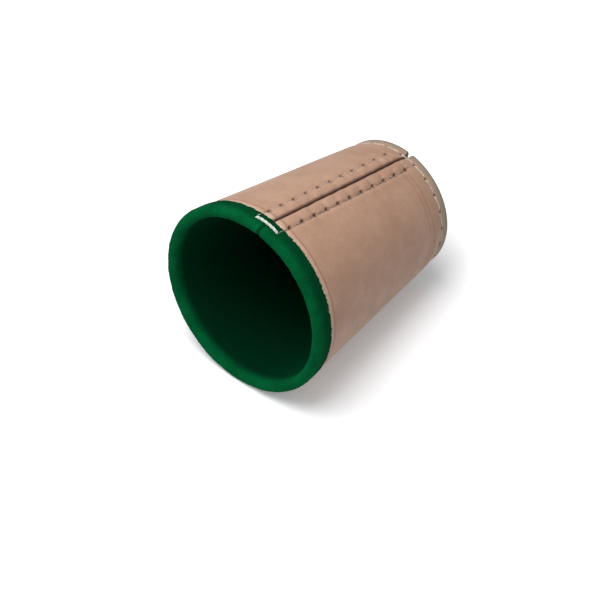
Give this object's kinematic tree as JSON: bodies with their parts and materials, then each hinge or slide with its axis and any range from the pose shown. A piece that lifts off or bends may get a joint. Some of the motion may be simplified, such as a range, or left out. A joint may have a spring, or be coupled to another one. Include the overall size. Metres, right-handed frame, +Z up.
{
  "type": "leather dice cup",
  "caption": "Tapered dice cup of natural leather, sewn along one seam, lined in green felt turned over the mouth, with a stitched-in leather base; lies on its side.",
  "frame": {"origin": "on the floor under the middle of the cup as it lies on its side", "axes": "the cup lies on its side on the plane z = 0 with its lowest slope flat on it; its mouth looks towards -Y and its base towards +Y, and +Z is up. The cup's own axis rises 6.56 degrees towards the mouth. The seam runs along the top, 10.7 degrees round towards +X."},
  "size_m": [0.0782, 0.1001, 0.0781],
  "materials": {
    "leather_natural": "natural vegetable-tanned grain leather, matt with a slight polish",
    "leather_strip": "thin brown leather strip behind the seam",
    "leather_base": "natural leather, pressed into a shallow dish",
    "felt_green": "dense green wool felt with a short nap",
    "board_grey": "grey paper board, hidden between the base and the felt",
    "thread_beige": "twisted linen thread, grey beige",
    "thread_cream": "twisted waxed thread, cream"
  },
  "bodies": {
    "root": {"leather_wall": "leather_natural", "seam_backing_strip": "leather_strip", "base_cap": "leather_base", "felt_lining": "felt_green", "felt_floor": "felt_green", "base_board": "board_grey", "seam_thread_right": "thread_beige", "seam_thread_left": "thread_beige", "seam_bobbin_thread_right": "thread_cream", "seam_bobbin_thread_left": "thread_cream", "rim_cross_stitch": "thread_cream", "base_thread": "thread_cream", "base_bobbin_thread": "thread_cream"}
  },
  "joints": []
}
